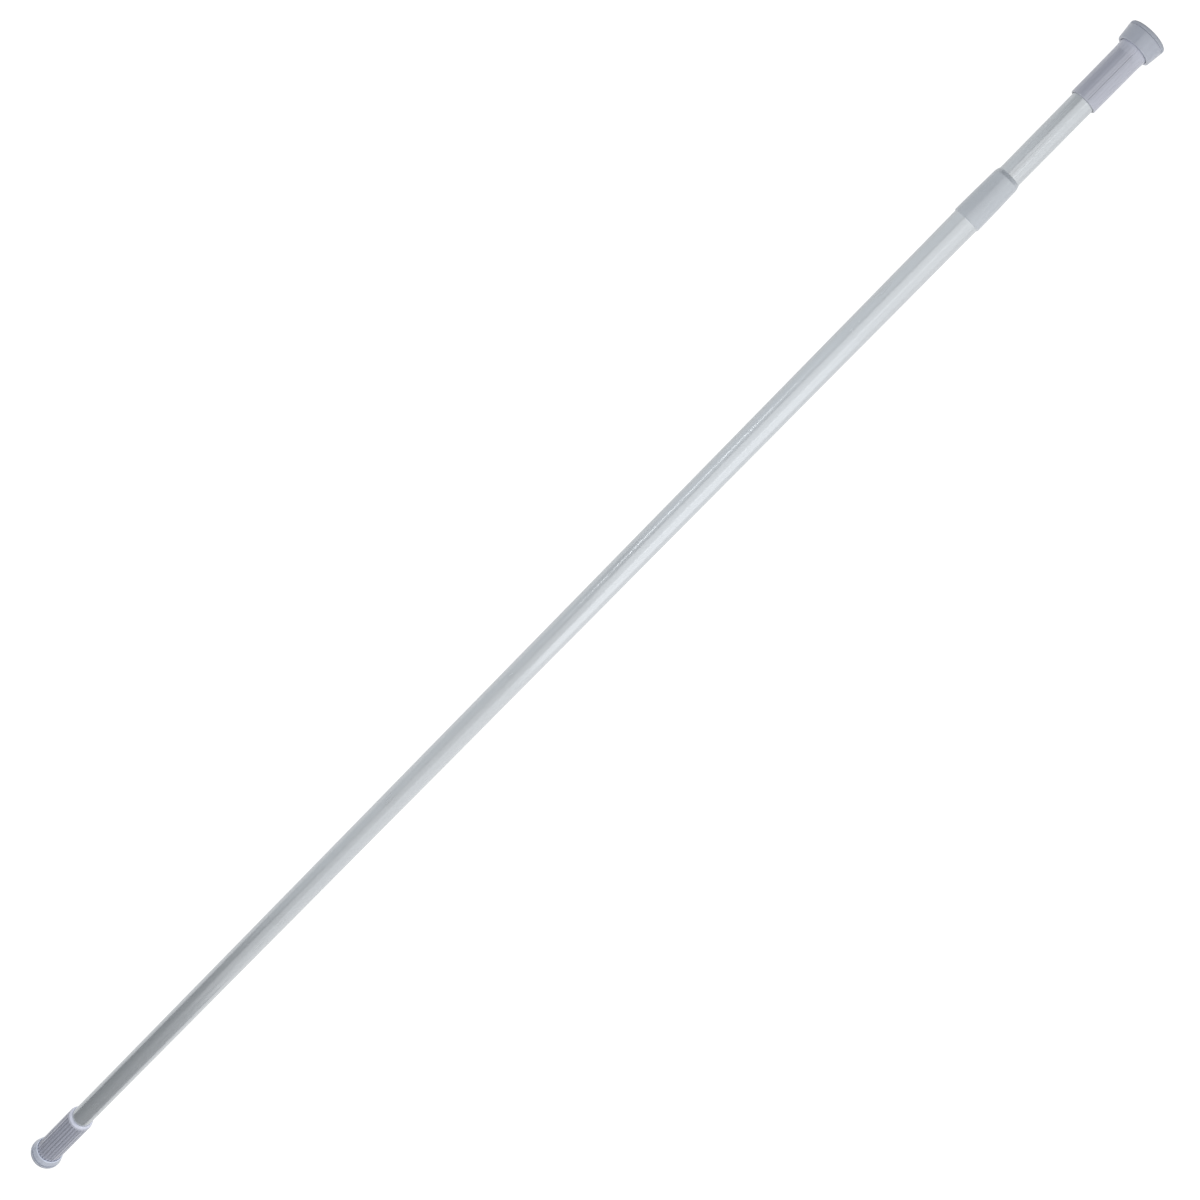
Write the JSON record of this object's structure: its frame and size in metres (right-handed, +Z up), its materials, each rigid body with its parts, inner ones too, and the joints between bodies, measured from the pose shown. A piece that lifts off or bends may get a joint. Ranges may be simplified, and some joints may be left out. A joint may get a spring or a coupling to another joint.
{
  "type": "telescopic tension rod",
  "caption": "Telescopic spring-tension rod: two white steel tubes with a joint sleeve, fluted grip caps, flared padded feet, a twist lock and a spring-loaded end cap.",
  "frame": {"origin": "centre of the outer wall pad's face, which presses on the wall", "axes": "+X along the rod from the outer cap to the inner cap, +Z up as the rod hangs between two walls"},
  "size_m": [1.4715, 0.0346, 0.0346],
  "materials": {
    "white_enamel": "glossy baked enamel",
    "sleeve_plastic": "satin gloss",
    "grip_plastic": "satin, moulded flutes",
    "foot_plastic": "satin",
    "pad_rubber": "matt",
    "nylon": "natural",
    "spring_steel": "oiled",
    "zinc_steel": "zinc plated"
  },
  "bodies": {
    "outer_cap": {"outer_wall_pad": "pad_rubber", "outer_foot_cup": "foot_plastic", "outer_grip_cap": "grip_plastic", "plunger": "nylon", "plunger_screw": "zinc_steel", "spring_washer": "zinc_steel"},
    "outer_tube": {"outer_tube": "white_enamel", "joint_sleeve": "sleeve_plastic", "spring_cage": "nylon", "cage_bush": "nylon", "cage_rivets": "zinc_steel", "cap_spring": "spring_steel"},
    "guide_ring": {"rear_guide_ring": "nylon"},
    "inner_tube": {"inner_tube": "white_enamel", "lock_plug": "nylon", "plug_rivets": "zinc_steel", "lock_washer": "zinc_steel", "lock_screw": "zinc_steel", "inner_tube_plug": "nylon", "inner_grip_cap": "grip_plastic", "inner_cap_screw": "zinc_steel", "inner_foot_cup": "foot_plastic", "inner_wall_pad": "pad_rubber"},
    "lock_cam": {"lock_cam": "nylon"}
  },
  "joints": [
    {"name": "cap_press", "type": "slide", "parent": "outer_cap", "child": "outer_tube", "axis": [-1, 0, 0], "range_m": [0, 0.015], "stiffness_N_per_m": 3000, "springref_m": -0.02, "deforming": ["cap_spring"]},
    {"name": "telescope", "type": "slide", "parent": "outer_tube", "child": "guide_ring", "axis": [1, 0, 0], "range_m": [-0.0675, 0.9444]},
    {"name": "twist_lock", "type": "hinge", "parent": "guide_ring", "child": "inner_tube", "pos_m": [0.2182, 0, 0], "axis": [1, 0, 0], "range_deg": [-55, 55]},
    {"name": "cam_turn", "type": "hinge", "parent": "inner_tube", "child": "lock_cam", "pos_m": [0.204, 0, 0.0005], "axis": [1, 0, 0], "range_deg": [-55, 55]}
  ],
  "couplings": [
    {"joint": "cam_turn", "follows": "twist_lock", "ratio": -1}
  ]
}
